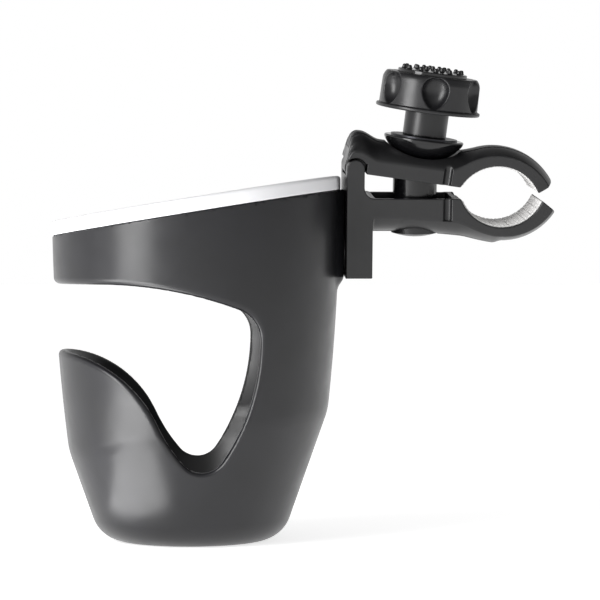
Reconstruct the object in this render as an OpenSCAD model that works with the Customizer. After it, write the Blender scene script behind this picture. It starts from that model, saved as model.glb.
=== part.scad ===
// Tilted-rim cup holder with a swivelling round-tube clamp.
// Millimetres. +Z is up, +X points from the cup to the clamp.
// The origin is the centre of the underside of the cup.
// Clamp parts are drawn in the clamp's own frame: its x is the object's x and its
// z is counted from the swivel axis. Parts on the bolt are drawn along the bolt,
// with z counted from the bolt's pivot.

/* [Cup] */
// Outer radius of the cup at the height of the swivel
cup_r = 46.0; // [40:0.5:52]
// Thickness of the cup wall
wall = 2.6; // [2.2:0.1:2.8]
// Thickness of the cup floor
floor_t = 3.0; // [2.5:0.1:4]
// Height of the rim seam on the cup's axis
rim_h = 105.2; // [103:0.5:107]
// Forward slope of the rim, in degrees
rim_slope = 9.1; // [6:0.1:10]
// Height of the rim ring
ring_h = 4.6; // [3.5:0.1:5]
// Radius of the round corner under the cup
heel_r = 11; // [9:0.5:12]

/* [Window] */
// Radius of the crown of the low front lip
lip_r = 38.8; // [37:0.2:40]
// Radius of the rounded bottom of the window
dip_r = 7.6; // [7.2:0.1:8]

/* [Swivel] */
// Height of the swivel axis above the underside
swivel_h = 93.5; // [91:0.5:95]
// How far the clamp is turned about the swivel, in degrees
clamp_roll = 7; // [0:0.5:12]
// Diameter of the swivel bush's flange
bush_d = 13.5; // [12:0.1:14.5]

/* [Clamp] */
// Width of the clamp
clamp_w = 24; // [22:0.5:24]
// Radius of the tube that the lower jaw fits all round
tube_r = 13.6; // [13.4:0.05:13.8]
// Thickness of the soft pads
pad_t = 1.3; // [1.1:0.05:1.4]
// Number of grooves in each pad
pad_grooves = 11; // [7:1:13]
// How far the upper jaw is closed past parallel, in degrees
jaw_close = 7.9; // [7.5:0.1:8]
// Lean of the bolt towards the jaws, in degrees
bolt_lean = 6.8; // [6.6:0.1:7]

/* [Knob] */
// Diameter of the knob's flange
knob_d = 33.6; // [33:0.2:35]
// Number of finger scoops
scoops = 6; // [5:1:7]
// Diameter of the knob's neck
neck_d = 14; // [13.6:0.1:14.6]
// Diameter of the pressure dish
dish_d = 26.8; // [26:0.2:27]
// Height of the raised pips on the cap
pip_h = 1.2; // [0.6:0.1:1.6]

/* [Hidden] */
$fn = 96;
far = 200;
gap = 0.05;

// Cup
cup_top = 130;
cup_rows = [-5, 14, 28, 42, 56, 70, 84, 98, cup_top];
heel_x = -1.5;
heel_r0 = 29.05;
heel_taper = 19.5;
ring_out = 0.5;
skirt_h = 3.4;
skirt_t = 1.1;
skirt_drop = 12;

// Window
lip_c = [-47.9, 23];
side_r = 50;
dip_c = [1.05, 31.95];
back_c = [-48.8, 65.6];
back_r = 67.8;
corner_c = [9, 65.35];
corner_r = 10;
brow_c = [-30, -37.5];
brow_r = 120;

// Swivel
cup_face_x = 46.4;
cup_pad_w = 16;
cup_pad_x = 30;
cup_pad_low = 86.8;
cup_pad_taper = 2.6;
clamp_x = 47.5;
seat_x = 43.2;
stem_d = 9;
spigot_l = 3.2;
screw_d = 4;
screw_head_d = 9;
screw_head_h = 2;
recess_w = 1;
recess_l = 4.4;
washer_d = 15;
washer_t = 0.8;
nut_af = 7;
nut_h = 3.2;

// Bracket and jaws
arm_t = 5.75;
foot_t = 8.5;
foot_z = -8.1;
hinge = [clamp_x + arm_t / 2, 27];
knuckle_w = 13.6;
knuckle_r = 3.2;
lug_gap = 0.6;
knuckle_gap = 0.3;
pin_d = 3;
pin_stop = 10.5;
beam_c = 21.8;
low_beam_r = 15.8;
high_beam_r = 14.9;
beam_x = 90;
beam_lap = 12;
belly = [[74, 6.2], [95, 3.1]];
low_face = 17.5;
high_face = 25.8;
roof_z = 28.9;
hump = [[47.4, 29], [47.9, 36], [49, 38.2], [50.5, 38.8], [54.3, 37.7], [60, 37.5], [60, 29]];
hump_lift = 1.95;
low_round = [97.3, 22.5];
high_round = [97.3, 20.2];
flange_r = 14.1;
pad_w = 21;
low_wheel = [98.3, 23.6];
low_wheel_r = 20.5;
high_wheel = [97.1, 18.6];
high_wheel_r = 21.5;
wheel_crown = 2.4;
crown_r = (pow(clamp_w / 2, 2) + pow(wheel_crown, 2)) / (2 * wheel_crown);
jaw_wall = 2.2;
lip_x = 84.4;
tip_x = 109;
low_tip = 18;
high_tip = 26.95;
tip_reach = 9;
tip_fall = 0.79;
groove_x = 79.8;
groove_r = 1.3;
groove_out = 0.1;
fillet_r = 3.6;
rib_x = [62, 78];
rib_t = 1.2;
low_pad_a = [205, 336];
high_pad_a = [33, 154];
pad_groove_d = 0.7;

// Bolt
pivot = [70.4, 13];
sleeve_d = 14.2;
sleeve_bore = 11.4;
sleeve_top = 24.5;
pivot_pin_d = 4;
bolt_d = 5.9;
bolt_l = 41;
eye_d = 8;
eye_w = 6.4;
cap_head_d = 15;
cap_z = 4.3;
cap_dome_r = 22;
cap_dome_a = asin(cap_head_d / 2 / cap_dome_r);

// Dish and knob, along the bolt
dish_top = 23.3;
dish_depth = 8;
dish_r = (pow(dish_d / 2, 2) + pow(dish_depth, 2)) / (2 * dish_depth);
dish_c = dish_top - dish_depth + dish_r;
seat_gap = 0.36;
slot_l = 3.4;
slot_w = 7.4;
thrust_d = 21.5;
thrust_t = 0.5;
neck_z = dish_top + thrust_t;
knob_z = 32;
knob_h = 12.7;
knob_low_r = 15.9;
knob_high_r = 15.6;
knob_edge_r = 3.8;
flange_t = 1.2;
scoop_out = 17.5;
scoop_z = 8.4;
scoop_r = 4.7;
scoop_foot_z = 2;
scoop_foot_r = 1.4;
insert_af = 10;
insert_h = 5;
cap_d = 22.4;
cap_t = 1.6;
cap_crown = 0.6;
pip_rings = [[0, 1], [5, 6], [9.2, 12]];

function on_circle(c, r, a) = c + r * [cos(a), sin(a)];
function arc(c, r, a0, a1, n, first = 0) =
    [for (i = [first : n]) on_circle(c, r, a0 + (a1 - a0) * i / n)];
function turn(v, a) = [v[0] * cos(a) - v[1] * sin(a), v[0] * sin(a) + v[1] * cos(a)];
function angle_to(p, q) = atan2(q[1] - p[1], q[0] - p[0]);

// The place that lies ra from a and rb from b, on the left of the way from a to b
function meet(a, ra, b, rb) =
    let (d = norm(b - a), along = (ra * ra - rb * rb + d * d) / (2 * d))
    on_circle(a, ra, angle_to(a, b) + acos(along / ra));

// The radius of the cup's upper wall: a long convex arc that draws in downwards
function wall_r(z) = cup_r - 0.025 * (96 - z) - 0.00077 * pow(96 - z, 2);

// Where the bolt's dish turns, in the frame of the clamp and of the open upper jaw
dish_centre = pivot + dish_c * [sin(bolt_lean), cos(bolt_lean)];
seat_centre = hinge + turn(dish_centre - hinge, jaw_close);

module on_clamp()
    translate([0, 0, swivel_h]) rotate([clamp_roll, 0, 0]) children();

// The upper jaw is drawn parallel to the lower one and closed about the hinge
module on_jaw()
    on_clamp()
    translate([hinge[0], 0, hinge[1]])
    rotate([0, jaw_close, 0])
    translate([-hinge[0], 0, -hinge[1]])
    children();

module on_bolt()
    on_clamp() translate([pivot[0], 0, pivot[1]]) rotate([0, bolt_lean, 0]) children();

// A bar of the given width across the clamp, with its outline in x and z
module across(w) translate([0, w / 2, 0]) rotate([90, 0, 0]) linear_extrude(w) children();

// A round bar across the clamp
module rod(c, d, w)
    translate([c[0], w / 2, c[1]]) rotate([90, 0, 0]) cylinder(d = d, h = w);

// A round bar along x, between two places
module axle(x0, x1, d) translate([x0, 0, 0]) rotate([0, 90, 0]) cylinder(d = d, h = x1 - x0);

module hexagon(af) circle(d = af / cos(30), $fn = 6);

// Everything on the low side of a plane that slopes like the rim
module below_rim(h)
    translate([0, 0, h]) rotate([0, -rim_slope, 0])
    translate([-far, -far, -far]) cube([2 * far, 2 * far, far]);

// The cup's outside, or its inside when the wall is taken off: a wall of revolution that
// stands in a round-cornered heel, whose axis lies a little forward of the wall's
module cup_form(t, z0) {
    tip = heel_r0 - t / cos(heel_taper) + tan(heel_taper) * z0;
    corner = heel_r - t;
    round_x = tip - corner * tan(45 - heel_taper / 2);
    intersection() {
        rotate([0, 0, 40]) rotate_extrude()
            polygon(concat([[0, cup_rows[0]]], [for (z = cup_rows) [wall_r(z) - t, z]],
                           [[0, cup_top]]));
        translate([heel_x, 0, 0]) rotate_extrude()
            polygon(concat([[0, z0]],
                           arc([round_x, z0 + corner], corner, -90, -heel_taper, 8),
                           [[tip + tan(heel_taper) * cup_top, z0 + cup_top],
                            [0, z0 + cup_top]]));
    }
}

// The see-through window, open at the front, cut straight across the cup
module window() {
    side_c = meet(lip_c, side_r + lip_r, dip_c, side_r - dip_r);
    lip_a = angle_to(lip_c, side_c);
    dip_a = angle_to(side_c, dip_c) + 360;
    low_a = angle_to(back_c, dip_c);
    high_a = angle_to(back_c, corner_c);
    brow_a = angle_to(brow_c, corner_c);
    across(2 * far)
        polygon(concat(
            arc(lip_c, lip_r, 90, lip_a, 8),
            arc(side_c, side_r, 180 + lip_a, dip_a, 4, 1),
            arc(dip_c, dip_r, dip_a, 360 + low_a, 9, 1),
            arc(back_c, back_r, low_a, high_a, 5, 1),
            arc(corner_c, corner_r, high_a, brow_a, 6, 1),
            arc(brow_c, brow_r, brow_a, 90, 5, 1),
            [[-far, brow_c[1] + brow_r], [-far, lip_c[1] + lip_r]]));
}

module cup_shell() color([0.17, 0.17, 0.18]) difference() {
    intersection() {
        union() {
            cup_form(0, 0);
            // Flat pad that faces the clamp
            across(cup_pad_w)
                polygon([[cup_pad_x, cup_pad_low - cup_pad_taper],
                         [cup_face_x - 1, cup_pad_low - cup_pad_taper],
                         [cup_face_x, cup_pad_low], [cup_face_x, cup_top],
                         [cup_pad_x, cup_top]]);
        }
        below_rim(rim_h);
    }
    cup_form(wall, floor_t);
    window();
    // Bore and inner seat for the swivel
    translate([0, 0, swivel_h]) {
        axle(cup_pad_x, far, stem_d + 2 * gap);
        axle(cup_pad_x, seat_x, washer_d + 2);
    }
}

module rim_ring() color([0.9, 0.9, 0.91]) difference() {
    skirt_r = wall_r(rim_h - skirt_drop) - wall - gap;
    intersection() {
        union() {
            difference() {
                cylinder(r = cup_r + ring_out, h = cup_top);
                below_rim(rim_h + 0.02);
            }
            cylinder(r = skirt_r, h = cup_top);
        }
        below_rim(rim_h + ring_h);
    }
    below_rim(rim_h - skirt_h);
    cylinder(r = skirt_r - skirt_t, h = cup_top);
    // Room for the bracket side of the rim
    translate([cup_face_x + 0.2, -far, 0]) cube([far, 2 * far, far]);
}

module swivel_bush() color([0.12, 0.12, 0.13]) on_clamp() difference() {
    union() {
        axle(cup_face_x + gap, clamp_x, bush_d);
        axle(seat_x - gap, clamp_x + spigot_l, stem_d);
    }
    axle(0, far, screw_d + 0.3);
}

module swivel_washer() color([0.72, 0.73, 0.75]) on_clamp() difference() {
    axle(seat_x - gap - washer_t, seat_x - gap, washer_d);
    axle(0, far, screw_d + 0.4);
}

module swivel_screw() color([0.72, 0.73, 0.75]) on_clamp() {
    head_x = seat_x - gap - washer_t - screw_head_h;
    difference() {
        union() {
            axle(head_x, head_x + screw_head_h, screw_head_d);
            axle(head_x, clamp_x + foot_t - 0.8, screw_d);
        }
        // Cross recess
        for (a = [0, 90]) rotate([a, 0, 0])
            translate([head_x - 1, -recess_l / 2, -recess_w / 2])
                cube([2.3, recess_l, recess_w]);
    }
}

module swivel_nut() color([0.72, 0.73, 0.75]) on_clamp() difference() {
    translate([clamp_x + foot_t - nut_h - 1, 0, 0]) rotate([0, 90, 0])
        linear_extrude(nut_h) hexagon(nut_af - 0.06);
    axle(0, far, screw_d + 0.04);
}

// The part of a jaw between the hinge and the round, with a barrel-shaped back
module beam(x0, x1, z0, z1, r) intersection() {
    translate([x0, -clamp_w / 2, z0]) cube([x1 - x0, clamp_w, z1 - z0]);
    translate([0, 0, beam_c]) axle(x0, x1, 2 * r);
}

// The crowned wheel that the round end of a jaw is cut from
module crowned_disc(c, r) translate([c[0], 0, c[1]]) rotate([90, 0, 0])
    rotate_extrude() intersection() {
        translate([r - crown_r, 0]) circle(r = crown_r, $fn = 192);
        translate([0, -clamp_w / 2]) square([r, clamp_w]);
    }

// The outline that a jaw's round end stays within, with its slanted tip
module jaw_end(s, face, tip, c) across(clamp_w) polygon([
    [beam_x - beam_lap, face], [lip_x, face], c, [tip_x, tip],
    [tip_x + tip_reach, tip - s * tip_reach * tip_fall], [tip_x + tip_reach, c[1] - s * far],
    [beam_x - beam_lap, c[1] - s * far]]);

// The round of a jaw, with the pocket that holds the pad between two flanges
module tube_round(c) {
    rod(c, 2 * flange_r, 2 * clamp_w);
    rod(c, 2 * (tube_r + pad_t + 0.02), pad_w + 0.1);
}

// Upright half-round groove in each side of a jaw
module side_grooves(z0, z1) for (s = [-1, 1])
    translate([groove_x, s * (clamp_w / 2 + groove_out), z0]) cylinder(r = groove_r, h = z1 - z0);

module clamp_bracket() color([0.2, 0.2, 0.21]) on_clamp() difference() {
    union() {
        // Upright arm with its knuckle, and the thicker foot
        across(clamp_w) difference() {
            polygon([[clamp_x, foot_z], [clamp_x + foot_t, foot_z],
                     [clamp_x + foot_t, low_face], [clamp_x + arm_t + fillet_r, low_face],
                     [clamp_x + arm_t, low_face + fillet_r], [clamp_x + arm_t, hinge[1]],
                     [clamp_x, hinge[1]]]);
            translate([clamp_x + arm_t + fillet_r, low_face + fillet_r]) circle(r = fillet_r);
        }
        rod(hinge, arm_t, clamp_w);
        beam(clamp_x + arm_t, beam_x, 0, low_face, low_beam_r);
        // The belly that slopes down to the round
        intersection() {
            across(clamp_w) polygon([belly[0], belly[1], [belly[1][0], low_face],
                                     [belly[0][0], low_face]]);
            translate([belly[0][0], 0, belly[0][1] + low_beam_r])
                rotate([0, -angle_to(belly[0], belly[1]), 0])
                axle(-5, 25, 2 * low_beam_r);
        }
        intersection() {
            crowned_disc(low_wheel, low_wheel_r);
            jaw_end(1, low_face, low_tip, low_round);
        }
    }
    // Slot for the upper jaw's knuckle, and the bore of the hinge pin
    rod(hinge, 2 * knuckle_r + 0.8, knuckle_w + 2 * knuckle_gap);
    translate([clamp_x - 5, -knuckle_w / 2 - knuckle_gap, hinge[1]])
        cube([15, knuckle_w + 2 * knuckle_gap, 15]);
    translate([hinge[0], far - pin_stop, hinge[1]]) rotate([90, 0, 0])
        cylinder(d = pin_d + 0.02, h = far);
    tube_round(low_round);
    // Hollow of the lower jaw, with the barrel's tower left standing
    difference() {
        intersection() {
            translate([clamp_x + foot_t + 1, -clamp_w / 2 + jaw_wall, 0])
                cube([lip_x - clamp_x - foot_t - 4, clamp_w - 2 * jaw_wall, far]);
            translate([0, 0, beam_c]) axle(0, far, 2 * (low_beam_r - jaw_wall - 0.5));
        }
        translate([pivot[0], 0, 0]) cylinder(d = sleeve_d + 3, h = low_face - 2);
        for (x = rib_x) translate([x - rib_t / 2, -clamp_w, 0])
            cube([rib_t, 2 * clamp_w, low_face - 2.5]);
    }
    // Barrel, its crosswise pin and its cap
    translate([pivot[0], 0, cap_z - 2]) cylinder(d = sleeve_d + 0.04, h = far);
    translate([pivot[0], 0, -10]) cylinder(d = cap_head_d + 0.1, h = 10 + cap_z + 3.4);
    side_grooves(10.5, low_face + 1);
    // Swivel spigot, screw and nut
    axle(clamp_x - 1, clamp_x + spigot_l + 0.1, stem_d + 0.02);
    axle(clamp_x - 1, clamp_x + 20, screw_d + 0.4);
    translate([clamp_x + foot_t - nut_h - 1.02, 0, 0]) rotate([0, 90, 0])
        linear_extrude(20) hexagon(nut_af);
}

// A soft lining: a third of a tube, grooved along the tube that it grips
module pad(c, a) difference() {
    translate([c[0], 0, c[1]]) rotate([90, 0, 0])
        rotate([0, 0, a[0]]) rotate_extrude(angle = a[1] - a[0])
        translate([tube_r, -pad_w / 2]) square([pad_t, pad_w]);
    for (i = [1 : pad_grooves])
        rod(on_circle(c, tube_r, a[0] + (a[1] - a[0]) * i / (pad_grooves + 1)),
            pad_groove_d, far);
}

module lower_pad() color([0.78, 0.78, 0.78]) on_clamp() pad(low_round, low_pad_a);

module upper_pad() color([0.78, 0.78, 0.78]) on_jaw() pad(high_round, high_pad_a);

module upper_jaw() color([0.2, 0.2, 0.21]) on_jaw() difference() {
    union() {
        difference() {
            beam(clamp_x + arm_t + lug_gap, beam_x, high_face, far, high_beam_r);
            rod(hinge, arm_t + 2 * lug_gap, far);
        }
        // Knuckle and the raised thumb rest behind it
        rod(hinge, 2 * knuckle_r, knuckle_w);
        intersection() {
            across(clamp_w) difference() {
                polygon(hump);
                translate(hinge) circle(d = arm_t + 2 * lug_gap);
            }
            translate([0, 0, beam_c + hump_lift]) axle(0, far, 2 * high_beam_r);
        }
        across(knuckle_w) polygon([[47.05, hinge[1]], [47.5, 33], [55, 33], [55, hinge[1]]]);
        intersection() {
            crowned_disc(high_wheel, high_wheel_r);
            jaw_end(-1, high_face, high_tip, high_round);
        }
    }
    rod(hinge, pin_d + 0.1, far);
    tube_round(high_round);
    // Hollow underneath, which the barrel stands in
    intersection() {
        translate([clamp_x + arm_t + 3, -clamp_w / 2 + jaw_wall, 20])
            cube([lip_x - clamp_x - arm_t - 6, clamp_w - 2 * jaw_wall, roof_z - 20]);
        translate([0, 0, beam_c]) axle(0, far, 2 * (high_beam_r - jaw_wall));
    }
    // Ball seat of the dish, and the slot that lets the bolt lean
    translate([seat_centre[0], 0, seat_centre[1]]) sphere(r = dish_r + seat_gap);
    for (dx = [-slot_l, 0])
        translate([seat_centre[0] + dx, 0, roof_z - 4]) cylinder(d = slot_w, h = 20);
    translate([seat_centre[0] - slot_l, -slot_w / 2, roof_z - 4]) cube([slot_l, slot_w, 20]);
    side_grooves(20, 40);
}

// Pushed in from the far side as far as the near lug's blind end
module hinge_pin() color([0.72, 0.73, 0.75]) on_clamp()
    translate([hinge[0], clamp_w / 2 - 0.5, hinge[1]]) rotate([90, 0, 0])
    cylinder(d = pin_d, h = clamp_w / 2 - 0.6 + pin_stop);

module barrel_sleeve() color([0.14, 0.14, 0.15]) on_clamp() difference() {
    translate([pivot[0], 0, cap_z + 3.5]) cylinder(d = sleeve_d, h = sleeve_top - cap_z - 3.5);
    translate([pivot[0], 0, -1]) cylinder(d = sleeve_bore, h = far);
    rod(pivot, pivot_pin_d + 0.02, far);
}

module barrel_cap() color([0.12, 0.12, 0.13]) on_clamp() {
    translate([pivot[0], 0, 0]) rotate_extrude()
        polygon(concat([[0, cap_z + 3.4], [cap_head_d / 2, cap_z + 3.4],
                        [cap_head_d / 2, cap_z + cap_dome_r * (1 - cos(cap_dome_a))]],
                       arc([0, cap_z + cap_dome_r], cap_dome_r, cap_dome_a - 90, -90, 4)));
}

module pivot_pin() color([0.72, 0.73, 0.75]) on_clamp()
    rod(pivot, pivot_pin_d, sleeve_d - 0.6);

module clamp_bolt() color([0.72, 0.73, 0.75]) on_bolt() difference() {
    union() {
        rod([0, 0], eye_d, eye_w);
        cylinder(d = bolt_d, h = bolt_l);
    }
    rod([0, 0], pivot_pin_d + 0.1, far);
}

module pressure_dish() color([0.16, 0.16, 0.17]) on_bolt() difference() {
    intersection() {
        translate([0, 0, dish_c]) sphere(r = dish_r);
        cylinder(d = dish_d + 1, h = dish_top);
    }
    cylinder(d = bolt_d + 0.6, h = far);
}

module thrust_washer() color([0.3, 0.3, 0.32]) on_bolt() difference() {
    translate([0, 0, dish_top]) cylinder(d = thrust_d, h = thrust_t - gap);
    cylinder(d = bolt_d + 0.6, h = far);
}

module knob() color([0.15, 0.15, 0.16]) on_bolt() difference() {
    rotate_extrude() union() {
        translate([0, neck_z]) square([neck_d / 2, knob_z - neck_z + 1]);
        translate([0, knob_z]) square([knob_d / 2, flange_t]);
        polygon(concat([[0, knob_z], [knob_low_r, knob_z]],
                       arc([knob_high_r - knob_edge_r, knob_z + knob_h - knob_edge_r],
                           knob_edge_r, 0, 90, 6),
                       [[0, knob_z + knob_h]]));
    }
    // Egg-shaped finger scoops, narrow above the flange
    for (i = [0 : scoops - 1]) rotate([0, 0, 360 * (i + 0.5) / scoops])
        translate([scoop_out, 0, knob_z]) {
            translate([0, 0, scoop_z]) sphere(r = scoop_r);
            translate([0, 0, scoop_foot_z])
                cylinder(r1 = scoop_foot_r, r2 = scoop_r - 0.1, h = scoop_z - scoop_foot_z);
        }
    // Thread clearance, insert pocket and cap recess
    cylinder(d = bolt_d + 0.6, h = bolt_l + 1.2);
    translate([0, 0, neck_z - 1]) linear_extrude(insert_h + 1.3) hexagon(insert_af);
    translate([0, 0, knob_z + knob_h - cap_t]) cylinder(d = cap_d, h = 10);
}

module knob_insert() color([0.8, 0.68, 0.4]) on_bolt() difference() {
    translate([0, 0, neck_z + 0.2]) linear_extrude(insert_h) hexagon(insert_af - 0.06);
    cylinder(d = bolt_d + 0.1, h = far);
}

// Pips that only give the thumb a grip: a middle one and two even rings
module pips() for (ring = pip_rings) for (i = [0 : ring[1] - 1])
    rotate([0, 0, 360 * i / ring[1]]) translate([ring[0], 0, 0])
        cylinder(r1 = 0.85, r2 = 0.55, h = cap_crown + pip_h);

module knob_cap() color([0.11, 0.11, 0.12]) on_bolt()
    translate([0, 0, knob_z + knob_h - cap_t + 0.02]) union() {
        cylinder(d = cap_d - 0.1, h = cap_t);
        translate([0, 0, cap_t]) cylinder(r1 = cap_d / 2 - 0.6, r2 = cap_d / 2 - 3, h = cap_crown);
        translate([0, 0, cap_t]) pips();
    }

cup_shell();
rim_ring();
swivel_bush();
swivel_washer();
swivel_screw();
swivel_nut();
clamp_bracket();
lower_pad();
upper_jaw();
upper_pad();
hinge_pin();
barrel_sleeve();
barrel_cap();
pivot_pin();
clamp_bolt();
pressure_dish();
thrust_washer();
knob();
knob_insert();
knob_cap();
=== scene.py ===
"""Looks of the clamp-on cup holder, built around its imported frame.

The moulded pieces are meshed from signed-distance fields. A field is a function of x, y and z in
millimetres that is negative inside the plastic, so fields are cut, joined and rounded with a few
operators, and the surface and its normals come straight from the formula.
"""

import math

import bpy
import numpy as np
from mathutils import Matrix, Vector


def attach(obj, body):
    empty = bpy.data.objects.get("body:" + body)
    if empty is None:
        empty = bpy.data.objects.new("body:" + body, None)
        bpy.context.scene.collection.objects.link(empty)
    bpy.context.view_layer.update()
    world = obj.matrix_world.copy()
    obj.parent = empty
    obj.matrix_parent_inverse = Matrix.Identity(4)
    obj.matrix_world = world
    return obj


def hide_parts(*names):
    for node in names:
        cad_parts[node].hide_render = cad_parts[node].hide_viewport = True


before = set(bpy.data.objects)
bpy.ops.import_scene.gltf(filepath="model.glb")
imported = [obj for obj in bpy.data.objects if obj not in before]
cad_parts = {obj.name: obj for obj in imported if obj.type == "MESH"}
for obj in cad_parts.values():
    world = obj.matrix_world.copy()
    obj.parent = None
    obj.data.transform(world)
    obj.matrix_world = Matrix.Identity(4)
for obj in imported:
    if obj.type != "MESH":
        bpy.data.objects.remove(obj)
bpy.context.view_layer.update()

MM = 0.001
FAR = 300.0

# ---------------------------------------------------------------- sizes, in millimetres

# Cup. Heights are over its underside, and the rim is a sloping plane.
WALL_R = 46.0
WALL_TOP = 96.0
WALL_DRAW = 0.025
WALL_BOW = 0.00077
WALL = 2.6
FLOOR = 3.0
RIM_H = 105.2
RIM_SLOPE = math.radians(9.1)
HEEL_X = -1.5
HEEL_R0 = 29.05
HEEL_TAPER = math.radians(19.5)
HEEL_R = 11.0
CUP_FACE_X = 46.4
BOSS_HALF = 8.0
BOSS_LOW = 84.2
BOSS_FILLET = 4.5
BACK_WALL_X = 30.0
EDGE_OUT_R = 1.9
EDGE_IN_R = 0.55

# Ring on the rim, with the skirt that holds it in the cup
RING_H = 4.6
RING_R = 46.5
SKIRT_DROP = 12.0
SKIRT_H = 3.4
SKIRT_T = 1.1

# Swivel
SWIVEL_H = 93.5
STEM_R = 4.5
SEAT_R = 8.5
SEAT_X = 43.2
SPIGOT_L = 3.3
SCREW_HOLE_R = 2.2
NUT_R = 3.9
NUT_X = 51.78

# Clamp, in its own frame: x as the object's, z counted from the swivel axis
CLAMP_ROLL = math.radians(7)
CLAMP_X = 47.5
CLAMP_HALF = 12.0
ARM_T = 5.75
FOOT_T = 8.5
FOOT_Z = -8.1
FILLET_R = 3.6
HINGE = (CLAMP_X + ARM_T / 2, 27.0)
KNUCKLE_R = 3.2
KNUCKLE_HALF = 6.8
LUG_GAP = 0.6
PIN_R = 1.5
PIN_STOP = 10.5
SHELL_T = 2.2

# Jaws: a barrel-shaped back, and a crowned wheel that the round end is cut from
BARREL_C = 21.8
LOW_BARREL_R = 15.8
HIGH_BARREL_R = 14.9
BEAM_END = (90.0, 88.0)
HUMP_LIFT = 1.95
HUMP_FOOT_X = 57.5
HUMP_RISE = 6.5
REAR_X = 47.35
REAR_LEAN = 0.07
REAR_RIBS = 5.0
BELLY = (74.0, 6.2)
BELLY_X = (66.0, 95.5)
BELLY_SLOPE = math.atan2(2.9, 21.4)
LOW_FACE = 17.5
HIGH_FACE = 25.8
ROOF_Z = 28.9
LIP_X = 84.4
LOW_ROUND = (97.3, 22.5)
HIGH_ROUND = (97.3, 20.2)
LOW_WHEEL = (98.3, 23.6, 20.5)
HIGH_WHEEL = (97.1, 18.6, 21.5)
CROWN = 2.4
CROWN_R = (CLAMP_HALF**2 + CROWN**2) / (2 * CROWN)
TIP_X = 109.0
TIP_FALL = 0.79
LOW_TIP = 18.0
HIGH_TIP = 26.95
JAW_END_X = 118.0
JAW_CLOSE = math.radians(7.9)
GROOVE_X = 79.8
GROOVE_R = 1.3
GROOVE_OUT = 0.1
GROOVE_LOW = 10.5
CREASE_Y = 4.0
CREASE_R = 0.32
LOW_HOLLOW_END = 81.9
HIGH_HOLLOW = (56.3, 81.4)
RIB_X = (62.0, 78.0)
RIB_HALF = 0.6

# Tube round, with its soft pads between two flanges
TUBE_R = 13.6
FLANGE_R = 14.1
PAD_T = 1.3
PAD_HALF = 10.5
PAD_CROWN = 0.16
PAD_GROOVE_R = 0.3
POCKET_R = TUBE_R + PAD_T + 0.02
PAD_GROOVES = 11
LOW_PAD = (205, 336)
HIGH_PAD = (33, 154)

# Bolt, with z counted along it from its pivot
PIVOT = (70.4, 13.0)
BOLT_LEAN = math.radians(6.8)
BOLT_HOLE_R = 3.25
SLEEVE_R = 7.1
SLEEVE_Z = 2.3
CAP_HEAD_R = 7.5
CAP_HEAD_Z = 7.7
DISH_TOP = 23.3
DISH_EDGE_R = 13.4
DISH_DEPTH = 8.0
DISH_R = (DISH_EDGE_R**2 + DISH_DEPTH**2) / (2 * DISH_DEPTH)
DISH_C = DISH_TOP - DISH_DEPTH + DISH_R
SEAT_GAP = 0.36
SEAT_PLAY = 1.5
SLOT_L = 3.4
SLOT_R = 3.7

# Knob, along the bolt
NECK_Z = 23.8
NECK_R = 7.0
KNOB_Z = 32.0
KNOB_TOP = 44.7
KNOB_LOW_R = 15.9
KNOB_HIGH_R = 15.6
KNOB_EDGE_R = 3.8
KNOB_BORE_END = 42.2
KNOB_FLANGE_R = 16.75
KNOB_FLANGE_T = 1.2
SCOOPS = 6
SCOOP_OUT = 17.3
SCOOP_R = 5.0
SCOOP_Z = 6.9
SCOOP_STRETCH = 0.86
SCOOP_FOOT = 0.68
SCOOP_WIDE_Z = 7.6
CAP_R = 11.2
CAP_T = 1.6
CAP_RISE = 0.45
CAP_FALL = 0.0035
PIP_R = 0.75
PIP_RISE = 1.7
PIP_RINGS = ((0.0, 1), (5.0, 6), (9.2, 12))


# ---------------------------------------------------------------- places

def at(x, y, z):
    return Matrix.Translation((x, y, z))


ON_CUP = Matrix.Identity(4)
ON_CLAMP = at(0, 0, SWIVEL_H) @ Matrix.Rotation(CLAMP_ROLL, 4, "X")
ON_JAW = (
    ON_CLAMP
    @ at(HINGE[0], 0, HINGE[1])
    @ Matrix.Rotation(JAW_CLOSE, 4, "Y")
    @ at(-HINGE[0], 0, -HINGE[1])
)
ON_BOLT = ON_CLAMP @ at(PIVOT[0], 0, PIVOT[1]) @ Matrix.Rotation(BOLT_LEAN, 4, "Y")


# ---------------------------------------------------------------- fields

def common(a, b, r=0.0):
    """Inside both, with the edge between them rounded to r."""
    if r == 0:
        return np.maximum(a, b)
    return np.minimum(-r, np.maximum(a, b)) + np.hypot(
        np.maximum(a + r, 0), np.maximum(b + r, 0)
    )


def joined(a, b, r=0.0):
    """Inside either, with a fillet of r in the corner between them."""
    return -common(-a, -b, r)


def cut(a, b, r=0.0):
    """Inside a and outside b."""
    return common(a, -b, r)


def span(v, low, high):
    """The slab from low to high."""
    return np.maximum(low - v, v - high)


def disc(u, v, centre, r):
    return np.hypot(u - centre[0], v - centre[1]) - r


def outline(u, v, points):
    """Signed distance to a closed outline in the plane of u and v."""
    nearest = np.full(np.broadcast(u, v).shape, FAR**2)
    inside = np.zeros(nearest.shape, bool)
    for (au, av), (bu, bv) in zip(points, points[1:] + points[:1]):
        du, dv = bu - au, bv - av
        t = np.clip(((u - au) * du + (v - av) * dv) / (du * du + dv * dv), 0, 1)
        nearest = np.minimum(nearest, (u - au - t * du) ** 2 + (v - av - t * dv) ** 2)
        if dv:
            crosses = ((av > v) != (bv > v)) & (u < au + (v - av) * du / dv)
            inside = inside ^ crosses
    return np.where(inside, -1, 1) * np.sqrt(nearest)


def arc(centre, r, start, end, n, first=0):
    """Points along an arc, its angles in degrees."""
    angles = [math.radians(start + (end - start) * i / n) for i in range(first, n + 1)]
    return [(centre[0] + r * math.cos(a), centre[1] + r * math.sin(a)) for a in angles]


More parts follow.
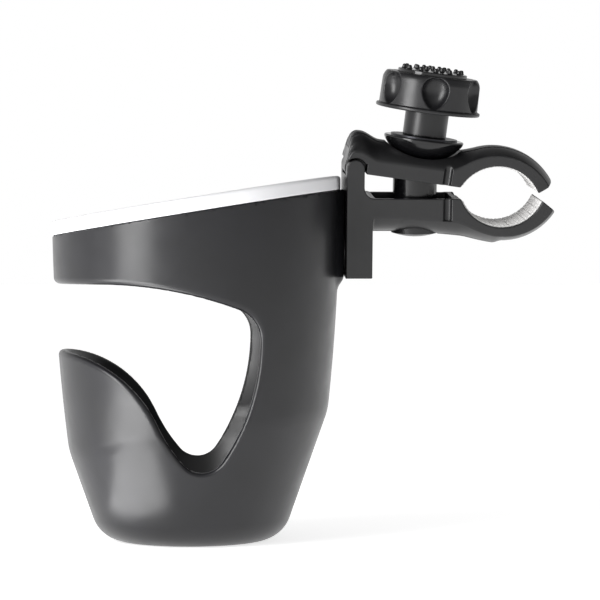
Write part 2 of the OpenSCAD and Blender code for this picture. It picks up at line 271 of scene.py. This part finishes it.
def angle_to(p, q):
    return math.degrees(math.atan2(q[1] - p[1], q[0] - p[0]))


# ---------------------------------------------------------------- meshing

def surface_net(field, low, high, step):
    """Points and quads of the zero surface of a field, inside a box."""
    axes = [np.arange(a - step, b + 2 * step, step) for a, b in zip(low, high)]
    shape = [len(a) for a in axes]
    value = np.broadcast_to(field(*np.ix_(*axes)), shape)
    solid = value < 0
    corners = [(i, j, k) for i in (0, 1) for j in (0, 1) for k in (0, 1)]
    count = sum(
        solid[i : shape[0] - 1 + i, j : shape[1] - 1 + j, k : shape[2] - 1 + k].astype(np.int8)
        for i, j, k in corners
    )
    cells = np.argwhere((count > 0) & (count < 8))
    names = np.full([n - 1 for n in shape], -1, np.int64)
    names[tuple(cells.T)] = np.arange(len(cells))
    total, hits = np.zeros((len(cells), 3)), np.zeros(len(cells))
    for axis in range(3):
        for corner in (c for c in corners if c[axis] == 0):
            other = [c + (n == axis) for n, c in enumerate(corner)]
            a = value[tuple((cells + corner).T)]
            b = value[tuple((cells + other).T)]
            hit = (a < 0) != (b < 0)
            place = np.tile(np.array(corner, float), (len(cells), 1))
            place[:, axis] = a / np.where(hit, a - b, 1)
            total[hit] += place[hit]
            hits += hit
    points = np.array([a[0] for a in axes]) + step * (cells + total / hits[:, None])
    faces = []
    for axis in range(3):
        b, c = (axis + 1) % 3, (axis + 2) % 3
        ahead = np.roll(solid, -1, axis)
        edges = np.argwhere(solid != ahead)
        keep = (edges[:, axis] < shape[axis] - 1) & (edges[:, b] > 0) & (edges[:, c] > 0)
        keep &= (edges[:, b] < shape[b] - 1) & (edges[:, c] < shape[c] - 1)
        edges = edges[keep]
        quad = []
        for db, dc in ((1, 1), (0, 1), (0, 0), (1, 0)):
            cell = edges.copy()
            cell[:, b] -= db
            cell[:, c] -= dc
            quad.append(names[tuple(cell.T)])
        quad = np.stack(quad, 1)
        outward = solid[tuple(edges.T)]
        quad[~outward] = quad[~outward][:, ::-1]
        faces.append(quad)
    return points, np.concatenate(faces)


def slope_of(field, points, h):
    """The field's gradient at some points."""
    slopes = []
    for axis in range(3):
        step = np.zeros(3)
        step[axis] = h
        slopes.append(field(*(points + step).T) - field(*(points - step).T))
    return np.stack(slopes, 1) / (2 * h)


def settled(field, points, step, rounds=4):
    """Moves points onto the zero surface. Returns them with their unit normals."""
    h = 0.02 * step
    for _ in range(rounds):
        slope = slope_of(field, points, h)
        steep = np.maximum((slope**2).sum(1), 0.05)
        move = slope * (field(*points.T) / steep)[:, None]
        length = np.linalg.norm(move, axis=1, keepdims=True)
        points = points - move * np.minimum(1, 0.5 * step / np.maximum(length, 1e-9))
    slope = slope_of(field, points, 2 * h)
    return points, slope / np.maximum(np.linalg.norm(slope, axis=1, keepdims=True), 1e-9)


def moulded(name, field, low, high, step, place, body, material):
    """A piece meshed from its field, put in its place and tied to its body."""
    points, quads = surface_net(field, low, high, step)
    points, normals = settled(field, points, step)
    turn = np.array(place.to_3x3())
    points = (points @ turn.T + np.array(place.translation)) * MM
    mesh = bpy.data.meshes.new(name)
    mesh.from_pydata(points.tolist(), [], quads.tolist())
    mesh.polygons.foreach_set("use_smooth", [True] * len(mesh.polygons))
    mesh.normals_split_custom_set_from_vertices((normals @ turn.T).tolist())
    mesh.materials.append(material)
    piece = bpy.data.objects.new(name, mesh)
    bpy.context.collection.objects.link(piece)
    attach(piece, body)
    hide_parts(name)


# ---------------------------------------------------------------- materials

def srgb(*levels):
    """A colour given in screen levels from 0 to 255, as linear light."""
    c = [v / 255 for v in levels]
    return tuple(v / 12.92 if v <= 0.04045 else ((v + 0.055) / 1.055) ** 2.4 for v in c)


def new_material(name):
    """A material with its nodes, its links and its shader."""
    material = bpy.data.materials.new(name)
    material.use_nodes = True
    nodes = material.node_tree.nodes
    return material, nodes, material.node_tree.links, nodes["Principled BSDF"]


def noise(nodes, links, place, scale, detail):
    """Noise of the given scale, in the coordinates that the socket place gives."""
    tex = nodes.new("ShaderNodeTexNoise")
    tex.inputs["Scale"].default_value = scale
    tex.inputs["Detail"].default_value = detail
    links.new(place, tex.inputs["Vector"])
    return tex.outputs["Fac"]


def ramp(nodes, links, source, low, high, start=0.35, end=0.65):
    """Spreads a source's range, by default a noise's middle range, over low to high."""
    spread = nodes.new("ShaderNodeMapRange")
    spread.inputs["From Min"].default_value = start
    spread.inputs["From Max"].default_value = end
    spread.inputs["To Min"].default_value = low
    spread.inputs["To Max"].default_value = high
    links.new(source, spread.inputs["Value"])
    return spread.outputs["Result"]


def tint(nodes, links, shader, source, dark, light):
    """Colours a shader between dark and light, as a noise says."""
    mix = nodes.new("ShaderNodeMix")
    mix.data_type = "RGBA"
    mix.inputs["A"].default_value = (*dark, 1)
    mix.inputs["B"].default_value = (*light, 1)
    links.new(ramp(nodes, links, source, 0, 1), mix.inputs["Factor"])
    links.new(mix.outputs["Result"], shader.inputs["Base Color"])


def plastic(name, dark, light, rough, grain=0.02, grain_scale=9000.0):
    """Moulded plastic: a slow colour drift, uneven gloss and a fine spark-eroded grain."""
    material, nodes, links, shader = new_material(name)
    place = nodes.new("ShaderNodeTexCoord").outputs["Object"]
    tint(nodes, links, shader, noise(nodes, links, place, 60.0, 3.0), dark, light)
    patches = noise(nodes, links, place, 140.0, 4.0)
    links.new(ramp(nodes, links, patches, *rough), shader.inputs["Roughness"])
    bump = nodes.new("ShaderNodeBump")
    bump.inputs["Strength"].default_value = grain
    bump.inputs["Distance"].default_value = 0.0001
    links.new(noise(nodes, links, place, grain_scale, 2.0), bump.inputs["Height"])
    links.new(bump.outputs["Normal"], shader.inputs["Normal"])
    return material


def metal(name, colour, rough, grain_scale=900.0):
    """Plated or turned metal with fine lines round its axis."""
    material, nodes, links, shader = new_material(name)
    stretch = nodes.new("ShaderNodeMapping")
    stretch.inputs["Scale"].default_value = (1, 1, 12)
    place = nodes.new("ShaderNodeTexCoord").outputs["Object"]
    links.new(place, stretch.inputs["Vector"])
    lines = noise(nodes, links, stretch.outputs["Vector"], grain_scale, 5.0)
    links.new(ramp(nodes, links, lines, *rough), shader.inputs["Roughness"])
    tint(nodes, links, shader, lines, [0.8 * c for c in colour], colour)
    shader.inputs["Metallic"].default_value = 1.0
    return material


def plain(name, colour, rough, glow):
    """A plain surface that a little light also comes through."""
    material, _, _, shader = new_material(name)
    shader.inputs["Base Color"].default_value = (*colour, 1)
    shader.inputs["Roughness"].default_value = rough
    shader.inputs["Emission Color"].default_value = (1, 1, 1, 1)
    shader.inputs["Emission Strength"].default_value = glow
    return material


CUP_PLASTIC = plastic("cup_plastic", srgb(22, 22, 24), srgb(26, 26, 29), (0.28, 0.34))
RIM_PLASTIC = plastic("rim_plastic", srgb(229, 229, 231), srgb(234, 234, 236), (0.38, 0.46))
CLAMP_PLASTIC = plastic("clamp_plastic", srgb(21, 21, 22), srgb(26, 26, 27), (0.3, 0.38))
KNOB_PLASTIC = plastic("knob_plastic", srgb(16, 16, 18), srgb(21, 21, 23), (0.28, 0.36))
GLOSS_PLASTIC = plastic("gloss_plastic", srgb(12, 12, 13), srgb(16, 16, 18), (0.12, 0.17), 0.01)
PAD_RUBBER = plastic(
    "pad_rubber", srgb(205, 204, 203), srgb(222, 221, 220), (0.62, 0.75), 0.08, 5000.0)
STEEL = metal("steel", (0.62, 0.62, 0.64), (0.24, 0.36))
BLACK_STEEL = metal("black_steel", (0.05, 0.05, 0.055), (0.3, 0.42))
BRASS = metal("brass", (0.72, 0.52, 0.24), (0.26, 0.38))


# ---------------------------------------------------------------- the cup

def wall_r(z):
    """The radius of the cup's upper wall, a long convex arc that draws in downwards."""
    return WALL_R - WALL_DRAW * (WALL_TOP - z) - WALL_BOW * (WALL_TOP - z) ** 2


def above_rim(x, z, h):
    """Height over the plane that slopes like the rim and meets the axis at h."""
    return (z - h) * math.cos(RIM_SLOPE) - x * math.sin(RIM_SLOPE)


def heel(x, y, z, t, z0):
    """The tapered heel with its round bottom corner, drawn in by t.

    u and v are counted from the centre of the round corner. side is the distance along the
    tapered wall's normal, and up is how far a place lies up that wall.
    """
    tip = HEEL_R0 - t / math.cos(HEEL_TAPER) + math.tan(HEEL_TAPER) * z0
    r = HEEL_R - t
    u = np.hypot(x - HEEL_X, y) - tip + r * math.tan(math.pi / 4 - HEEL_TAPER / 2)
    v = z - z0 - r
    side = u * math.cos(HEEL_TAPER) - v * math.sin(HEEL_TAPER)
    up = u * math.sin(HEEL_TAPER) + v * math.cos(HEEL_TAPER)
    outside = np.where(up > 0, side, np.where(u < 0, -v, np.hypot(u, v)))
    return np.where((side < 0) & (v > 0), np.maximum(side, -v), outside) - r


# The circles that the window's edge follows: centre in x and z, and radius
LIP_C, LIP_R = (-47.9, 23.0), 38.8
SIDE_R = 50.0
DIP_C, DIP_R = (1.05, 31.95), 7.6
BACK_C, BACK_R = (-48.8, 65.6), 67.8
CORNER_C, CORNER_R = (9.0, 65.35), 10.0
BROW_C, BROW_R = (-30.0, -37.5), 120.0


def meet(a, ra, b, rb):
    """The place that lies ra from a and rb from b, on the left of the way from a to b."""
    d = math.dist(a, b)
    turn = math.acos((ra * ra - rb * rb + d * d) / (2 * d * ra))
    way = math.radians(angle_to(a, b)) + turn
    return a[0] + ra * math.cos(way), a[1] + ra * math.sin(way)


def window_outline():
    """The see-through window's edge in x and z, open at the front."""
    side_c = meet(LIP_C, SIDE_R + LIP_R, DIP_C, SIDE_R - DIP_R)
    lip = angle_to(LIP_C, side_c)
    dip = angle_to(side_c, DIP_C) + 360
    low = angle_to(BACK_C, DIP_C)
    high = angle_to(BACK_C, CORNER_C)
    brow = angle_to(BROW_C, CORNER_C)
    return (
        arc(LIP_C, LIP_R, 90, lip, 32)
        + arc(side_c, SIDE_R, 180 + lip, dip, 12, 1)
        + arc(DIP_C, DIP_R, dip, 360 + low, 24, 1)
        + arc(BACK_C, BACK_R, low, high, 16, 1)
        + arc(CORNER_C, CORNER_R, high, brow, 16, 1)
        + arc(BROW_C, BROW_R, brow, 90, 24, 1)
        + [(-FAR, BROW_C[1] + BROW_R), (-FAR, LIP_C[1] + LIP_R)]
    )


WINDOW = window_outline()


def cup_field(x, y, z):
    wall = np.hypot(x, y) - wall_r(z)
    boss = common(x - CUP_FACE_X, abs(y) - BOSS_HALF, 0.8)
    boss = common(boss, np.maximum(BACK_WALL_X - x, BOSS_LOW - z), 0.8)
    outside = common(joined(wall, boss, BOSS_FILLET), heel(x, y, z, 0, 0), 0.5)
    outside = common(outside, above_rim(x, z, RIM_H), 0.25)
    inside = common(wall + WALL, heel(x, y, z, WALL, FLOOR), 0.5)
    opening = outline(x, z, WINDOW)
    shell = np.maximum(
        cut(outside, opening, EDGE_OUT_R), common(-inside, -opening, EDGE_IN_R))
    swivel = np.hypot(y, z - SWIVEL_H)
    bore = np.maximum(swivel - STEM_R - 0.05, BACK_WALL_X - x)
    seat = np.maximum(swivel - SEAT_R, span(x, BACK_WALL_X, SEAT_X))
    return cut(cut(shell, bore, 0.2), seat, 0.3)


def ring_field(x, y, z):
    rho = np.hypot(x, y)
    skirt_r = wall_r(RIM_H - SKIRT_DROP) - WALL - 0.05
    inner_r = skirt_r - SKIRT_T
    over = common(rho - RING_R, above_rim(x, z, RIM_H + RING_H), 1.3)
    over = common(over, -above_rim(x, z, RIM_H + 0.05), 0.35)
    skirt = common(rho - skirt_r, above_rim(x, z, RIM_H + RING_H), 1.3)
    skirt = common(skirt, -above_rim(x, z, RIM_H - SKIRT_H), 0.4)
    ring = common(np.minimum(over, skirt), inner_r - rho, 0.9)
    return common(ring, x - CUP_FACE_X - 0.2, 0.5)


# ---------------------------------------------------------------- the clamp

def crowned(x, y, z, wheel):
    """The crowned wheel that the round end of a jaw is cut from."""
    cx, cz, r = wheel
    rim = r - CROWN_R + np.sqrt(CROWN_R**2 - np.minimum(abs(y), CLAMP_HALF + 2) ** 2)
    return np.hypot(x - cx, z - cz) - rim


def tip_plane(x, z, s, tip):
    """Height over the slanted end of a jaw. s is 1 for the lower jaw and -1 for the upper."""
    return (s * (z - tip) + TIP_FALL * (x - TIP_X)) / math.hypot(1, TIP_FALL)


def end_point(s, tip):
    """Where the slanted end of a jaw would run out."""
    return JAW_END_X, tip - s * TIP_FALL * (JAW_END_X - TIP_X)


def creased(back, y):
    """A back with the two fine lines that run along it."""
    return cut(back, np.hypot(back, abs(y) - CREASE_Y) - CREASE_R, 0.1)


def side_grooves(x, y):
    """The upright half-round groove in each side of a jaw."""
    return np.hypot(x - GROOVE_X, abs(y) - CLAMP_HALF - GROOVE_OUT) - GROOVE_R


def tube_round(body, x, y, z, centre):
    """Cuts the round for the tube, and the pocket that holds the pad between two flanges."""
    rho = np.hypot(x - centre[0], z - centre[1])
    body = cut(body, rho - FLANGE_R, 0.3)
    return cut(body, common(rho - POCKET_R, abs(y) - PAD_HALF - 0.05))


def lower_back(x, y, z):
    """The underside of the bracket: a barrel, a belly that slopes down, and the wheel."""
    straight = common(np.hypot(y, z - BARREL_C) - LOW_BARREL_R, span(x, 50, BEAM_END[0]))
    drop = (x - BELLY[0]) * math.sin(BELLY_SLOPE)
    drop = drop + (z - BELLY[1] - LOW_BARREL_R) * math.cos(BELLY_SLOPE)
    belly = common(np.hypot(y, drop) - LOW_BARREL_R, span(x, *BELLY_X), 0.6)
    wheel = common(crowned(x, y, z, LOW_WHEEL), tip_plane(x, z, 1, LOW_TIP), 0.8)
    return creased(joined(joined(straight, belly, 2.0), wheel, 3.0), y)


def bracket_outside(x, y, z):
    """The upright arm, the foot and the lower jaw, with the fillet between them."""
    right = CLAMP_X + ARM_T
    arm = common(span(x, CLAMP_X, right), span(z, FOOT_Z, HINGE[1]))
    arm = np.minimum(arm, disc(x, z, HINGE, ARM_T / 2))
    foot = common(span(x, CLAMP_X, CLAMP_X + FOOT_T), span(z, FOOT_Z, LOW_FACE))
    lower = common(lower_back(x, y, z), outline(x, z, [
        (50, LOW_FACE), (LIP_X, LOW_FACE), LOW_ROUND, (TIP_X, LOW_TIP), end_point(1, LOW_TIP),
        (JAW_END_X, -30), (50, -30)]), 0.4)
    body = joined(np.minimum(arm, foot), lower, 0.8)
    corner = common(
        span(x, right - 1, right + FILLET_R), span(z, LOW_FACE - 1, LOW_FACE + FILLET_R))
    corner = cut(corner, disc(x, z, (right + FILLET_R, LOW_FACE + FILLET_R), FILLET_R))
    return common(np.minimum(body, corner), abs(y) - CLAMP_HALF, 0.3)


def lower_hollow(x, y, z):
    """The hollow of the lower jaw, with the barrel's tower and two ribs left standing."""
    hollow = span(x, CLAMP_X + FOOT_T + 1, LOW_HOLLOW_END)
    hollow = common(hollow, abs(y) - CLAMP_HALF + SHELL_T, 0.8)
    hollow = common(hollow, np.hypot(y, z - BARREL_C) - LOW_BARREL_R + SHELL_T + 0.5)
    tower = common(np.hypot(x - PIVOT[0], y) - SLEEVE_R - 1.5, z - LOW_FACE + 2)
    hollow = cut(hollow, tower)
    for rib in RIB_X:
        hollow = cut(hollow, common(abs(x - rib) - RIB_HALF, z - LOW_FACE + 2.5), 0.2)
    return common(hollow, 0.1 - z)


def bracket_field(x, y, z):
    body = bracket_outside(x, y, z)
    # Slot for the upper jaw's knuckle, and the hinge pin's bore with its blind end
    slot = np.minimum(
        disc(x, z, HINGE, KNUCKLE_R + 0.4),
        common(span(x, CLAMP_X - 5, CLAMP_X + 10), HINGE[1] - z))
    body = cut(body, common(slot, abs(y) - KNUCKLE_HALF - 0.3), 0.25)
    body = cut(body, common(disc(x, z, HINGE, PIN_R + 0.01), -PIN_STOP - y))
    body = tube_round(body, x, y, z, LOW_ROUND)
    body = cut(body, lower_hollow(x, y, z), 0.3)
    # Bores for the barrel's sleeve and its cap
    shaft = np.hypot(x - PIVOT[0], y)
    body = cut(body, common(shaft - SLEEVE_R - 0.02, SLEEVE_Z - z))
    body = cut(body, common(shaft - CAP_HEAD_R - 0.05, z - CAP_HEAD_Z))
    body = cut(body, common(side_grooves(x, y), span(z, GROOVE_LOW, 40)), 0.2)
    # Bores for the swivel's spigot, screw and nut
    axle = np.hypot(y, z)
    body = cut(body, common(axle - STEM_R - 0.01, x - CLAMP_X - SPIGOT_L))
    body = cut(body, axle - SCREW_HOLE_R)
    return cut(body, common(axle - NUT_R, NUT_X - x))


def upper_back(x, y, z):
    """The top of the upper jaw: a barrel that rises into the thumb rest, and the wheel."""
    rise = np.clip((HUMP_FOOT_X - x) / HUMP_RISE, 0, 1)
    lift = HUMP_LIFT * rise * rise * (3 - 2 * rise)
    top = np.hypot(y, z - BARREL_C - lift) - HIGH_BARREL_R
    rear = (REAR_X + REAR_LEAN * (z - 29) - x) / math.hypot(1, REAR_LEAN)
    ribs = (y + CLAMP_HALF + 0.5) % REAR_RIBS - REAR_RIBS / 2
    rear = cut(rear, np.hypot(rear, ribs) - 0.55, 0.3)
    wheel = common(crowned(x, y, z, HIGH_WHEEL), tip_plane(x, z, -1, HIGH_TIP), 0.8)
    top = common(common(top, rear, 2.4), x - BEAM_END[1])
    return creased(joined(top, common(wheel, 75 - x), 2.0), y)


def upper_jaw_field(x, y, z):
    left = CLAMP_X + ARM_T + LUG_GAP
    body = common(upper_back(x, y, z), outline(x, z, [
        (40, 29), (left, 29), (left, HIGH_FACE), (LIP_X, HIGH_FACE), HIGH_ROUND,
        (TIP_X, HIGH_TIP), end_point(-1, HIGH_TIP), (JAW_END_X, 70), (40, 70)]), 0.4)
    body = cut(body, disc(x, z, HINGE, ARM_T / 2 + LUG_GAP), 0.3)
    body = common(body, abs(y) - CLAMP_HALF, 0.3)
    knuckle = disc(x, z, HINGE, KNUCKLE_R)
    web = outline(x, z, [(47.3, HINGE[1]), (47.6, 33), (55, 33), (55, HINGE[1])])
    body = np.minimum(body, common(np.minimum(knuckle, web), abs(y) - KNUCKLE_HALF))
    body = cut(body, disc(x, z, HINGE, PIN_R + 0.05))
    body = tube_round(body, x, y, z, HIGH_ROUND)
    hollow = common(span(x, *HIGH_HOLLOW), abs(y) - CLAMP_HALF + SHELL_T, 0.8)
    body = cut(body, common(hollow, z - ROOF_Z), 0.3)
    # Round seat of the dish, and the slot that lets the bolt lean
    seat_x, seat_z = SEAT
    aside = np.maximum(abs(y) - SEAT_PLAY, 0)
    seat = np.sqrt((x - seat_x) ** 2 + aside**2 + (z - seat_z) ** 2)
    body = cut(body, seat - DISH_R - SEAT_GAP, 0.3)
    bolt_slot = np.hypot(np.clip(x, seat_x - SLOT_L, seat_x) - x, y) - SLOT_R
    body = cut(body, common(bolt_slot, z - 45), 0.3)
    return cut(body, side_grooves(x, y), 0.2)


def pad_field(centre, angles):
    """The field of a soft lining between two angles, grooved along the tube that it grips."""
    a, b = math.radians(angles[0]), math.radians(angles[1])
    pitch = (b - a) / (PAD_GROOVES + 1)

    def field(x, y, z):
        u, v = x - centre[0], z - centre[1]
        rho = np.hypot(u, v)
        sector = np.maximum(
            u * math.sin(a) - v * math.cos(a), v * math.cos(b) - u * math.sin(b))
        # How far a place is from the nearest groove, round the tube
        turn = (np.arctan2(v, u) - a) % (2 * math.pi)
        off = ((turn + pitch / 2) % pitch - pitch / 2) * TUBE_R
        crown = PAD_CROWN * np.cos(off * math.pi / (pitch * TUBE_R)) ** 2
        lining = span(rho, TUBE_R + 0.14 - crown, TUBE_R + PAD_T)
        lining = common(common(lining, abs(y) - PAD_HALF, 0.4), sector, 0.3)
        return cut(lining, np.hypot(rho - TUBE_R, off) - PAD_GROOVE_R, 0.12)

    return field


def seat_place():
    """Where the dish's round centre lies in the open jaw's frame."""
    x = PIVOT[0] + DISH_C * math.sin(BOLT_LEAN) - HINGE[0]
    z = PIVOT[1] + DISH_C * math.cos(BOLT_LEAN) - HINGE[1]
    c, s = math.cos(JAW_CLOSE), math.sin(JAW_CLOSE)
    return HINGE[0] + x * c - z * s, HINGE[1] + x * s + z * c


SEAT = seat_place()


# ---------------------------------------------------------------- dish and knob

def dish_field(x, y, z):
    rho = np.hypot(x, y)
    bowl = np.hypot(rho, z - DISH_C) - DISH_R
    bowl = common(common(bowl, rho - DISH_EDGE_R + 0.2, 0.8), z - DISH_TOP, 0.9)
    return cut(bowl, rho - BOLT_HOLE_R, 0.2)


def scoop_field(x, y, z):
    """Egg-shaped finger scoops. Scaled down, so that its slope stays near one."""
    pitch = 2 * math.pi / SCOOPS
    rho = np.hypot(x, y)
    near = (np.arctan2(y, x) % pitch) - pitch / 2
    u, v, w = rho * np.cos(near) - SCOOP_OUT, rho * np.sin(near), z - KNOB_Z
    wide = SCOOP_FOOT + (1 - SCOOP_FOOT) * np.clip(w / SCOOP_WIDE_Z, 0, 1)
    egg = np.sqrt(u * u + (v / wide) ** 2 + ((w - SCOOP_Z) * SCOOP_STRETCH) ** 2)
    return 0.8 * (egg - SCOOP_R)


def knob_field(x, y, z):
    rho = np.hypot(x, y)
    drum = outline(rho, z, [
        (-5, KNOB_Z + 0.01), (KNOB_LOW_R, KNOB_Z + 0.01), (KNOB_HIGH_R, KNOB_TOP),
        (-5, KNOB_TOP)])
    body = cut(common(drum, z - KNOB_TOP, KNOB_EDGE_R), scoop_field(x, y, z), 0.3)
    flange = common(rho - KNOB_FLANGE_R, span(z, KNOB_Z, KNOB_Z + KNOB_FLANGE_T), 0.45)
    body = joined(body, flange, 0.25)
    neck = common(rho - NECK_R, span(z, NECK_Z, KNOB_Z + 2), 0.25)
    body = joined(body, neck, 0.4)
    body = cut(body, common(rho - CAP_R, KNOB_TOP - CAP_T - z), 0.25)
    return cut(body, common(rho - BOLT_HOLE_R, z - KNOB_BORE_END))


def cap_field(x, y, z):
    rho = np.hypot(x, y)
    crown = KNOB_TOP + CAP_RISE - CAP_FALL * rho**2
    plate = common(rho - CAP_R + 0.07, span(z, KNOB_TOP - CAP_T + 0.02, crown), 0.35)
    for r, n in PIP_RINGS:
        for i in range(n):
            a = 2 * math.pi * i / n
            side = np.hypot(x - r * math.cos(a), y - r * math.sin(a)) - PIP_R
            top = KNOB_TOP + PIP_RISE - CAP_FALL * r * r
            pip = common(side + 0.2 * (z - KNOB_TOP - 0.6), span(z, KNOB_TOP - 1, top), 0.4)
            plate = joined(plate, pip, 0.25)
    return plate


# ---------------------------------------------------------------- making the pieces

# Each piece: its field, the box it is meshed in, the mesh's step, its frame, body and
# material
moulded("cup_shell", cup_field, (-47, -47, 0), (48, 47, 114), 0.85, ON_CUP, "cup",
        CUP_PLASTIC)
moulded("rim_ring", ring_field, (-47, -47, 93), (47, 47, 118), 0.6, ON_CUP, "cup",
        RIM_PLASTIC)
moulded("clamp_bracket", bracket_field, (47, -12.5, -9), (117, 12.5, 31), 0.4, ON_CLAMP,
        "clamp", CLAMP_PLASTIC)
moulded("upper_jaw", upper_jaw_field, (46, -12.5, 23), (117, 12.5, 41), 0.4, ON_JAW,
        "upper_jaw", CLAMP_PLASTIC)
moulded("lower_pad", pad_field(LOW_ROUND, LOW_PAD), (82, -11, 7), (112, 11, 19), 0.35,
        ON_CLAMP, "clamp", PAD_RUBBER)
moulded("upper_pad", pad_field(HIGH_ROUND, HIGH_PAD), (82, -11, 25), (112, 11, 36), 0.35,
        ON_JAW, "upper_jaw", PAD_RUBBER)
moulded("pressure_dish", dish_field, (-13.5, -13.5, 15), (13.5, 13.5, 24), 0.35, ON_BOLT,
        "dish", GLOSS_PLASTIC)
moulded("knob", knob_field, (-17, -17, 23), (17, 17, 45), 0.4, ON_BOLT, "knob",
        KNOB_PLASTIC)
moulded("knob_cap", cap_field, (-12, -12, 42), (12, 12, 47), 0.25, ON_BOLT, "knob",
        GLOSS_PLASTIC)

# The small fittings keep their CAD shape
FINISHES = {
    "swivel_bush": GLOSS_PLASTIC, "barrel_sleeve": GLOSS_PLASTIC, "barrel_cap": KNOB_PLASTIC,
    "swivel_washer": STEEL, "swivel_screw": STEEL, "swivel_nut": STEEL, "hinge_pin": STEEL,
    "pivot_pin": STEEL, "clamp_bolt": STEEL, "thrust_washer": BLACK_STEEL,
    "knob_insert": BRASS,
}
for node, finish in FINISHES.items():
    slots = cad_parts[node].data.materials
    slots.clear()
    slots.append(finish)


# ---------------------------------------------------------------- floor, light and camera

def area_light(name, place, rotation, size, power):
    """A rectangular light, whose unturned face looks down."""
    data = bpy.data.lights.new(name, "AREA")
    data.shape = "RECTANGLE"
    data.size, data.size_y = size
    data.energy = power
    lamp = bpy.data.objects.new(name, data)
    lamp.location = place
    lamp.rotation_euler = rotation
    bpy.context.collection.objects.link(lamp)


def softbox(name, place, size, power):
    """A light on a stand that faces the middle of the object."""
    way = Vector(MIDDLE) - Vector(place)
    area_light(name, place, way.to_track_quat("-Z", "Y").to_euler(), size, power)


def bright_card(name, place, turn, size, power):
    """A bright card that lies on the floor, its length turned from x by an angle."""
    area_light(name, (*place, CARD_Z), (math.pi, 0, math.radians(turn)), size, power)


# Each shade of the studio: a direction, how bright the studio is away from it and towards it,
# and the cosines between which that changes
SHADES = (
    ((0, 1, 0), 0.6, 1.0, -0.9, 0.5),
    ((1, 0, 0), 1.0, 0.5, 0.0, 0.6),
    ((0, 0.3, 0.95), 1.0, 0.12, 0.45, 0.85),
)


def studio_world():
    """A white studio, dimmer overhead, in front and on the right than at the backdrop."""
    world = bpy.data.worlds.new("studio")
    world.use_nodes = True
    nodes, links = world.node_tree.nodes, world.node_tree.links
    place = nodes.new("ShaderNodeTexCoord").outputs["Generated"]
    strength = None
    for way, away, towards, start, end in SHADES:
        cosine = nodes.new("ShaderNodeVectorMath")
        cosine.operation = "DOT_PRODUCT"
        cosine.inputs[1].default_value = way
        links.new(place, cosine.inputs[0])
        shade = ramp(nodes, links, cosine.outputs["Value"], away, towards, start, end)
        product = nodes.new("ShaderNodeMath")
        product.operation = "MULTIPLY"
        product.inputs[0].default_value = 1.0
        if strength:
            links.new(strength, product.inputs[0])
        links.new(shade, product.inputs[1])
        strength = product.outputs["Value"]
    # The backdrop itself is seen as plain white
    rays = nodes.new("ShaderNodeLightPath")
    shown = nodes.new("ShaderNodeMix")
    shown.inputs["B"].default_value = 1.0
    links.new(rays.outputs["Is Camera Ray"], shown.inputs["Factor"])
    links.new(strength, shown.inputs["A"])
    links.new(shown.outputs["Result"], nodes["Background"].inputs["Strength"])
    nodes["Background"].inputs["Color"].default_value = (1, 1, 1, 1)
    bpy.context.scene.world = world


MIDDLE = (0.02, 0, 0.07)
CARD_Z = 0.002

bpy.ops.mesh.primitive_plane_add(size=12, location=(0, 0, 0))
floor = bpy.context.object
floor.name = "floor"
floor.data.materials.append(plain("floor_white", (0.9, 0.9, 0.9), 0.9, 0.72))

studio_world()
softbox("left_box", (-0.72, -0.6, 0.3), (0.42, 0.9), 10.5)
bright_card("near_card", (-0.058, -0.055), 43, (0.075, 0.045), 0.06)
bright_card("far_card", (-0.21, -0.155), 36, (0.28, 0.12), 0.85)

camera_data = bpy.data.cameras.new("camera")
camera_data.sensor_width = 36.0
camera_data.lens = 159.0
camera = bpy.data.objects.new("camera", camera_data)
bpy.context.collection.objects.link(camera)
azimuth, elevation, distance = math.radians(-3.4), math.radians(1.1), 0.855
aim = Vector((0.0335, 0, 0.0771))
back = Vector((
    math.sin(azimuth) * math.cos(elevation),
    -math.cos(azimuth) * math.cos(elevation),
    math.sin(elevation),
))
camera.location = aim + distance * back
camera.rotation_euler = (-back).to_track_quat("-Z", "Y").to_euler()
bpy.context.scene.camera = camera
bpy.context.scene.view_settings.view_transform = "Standard"
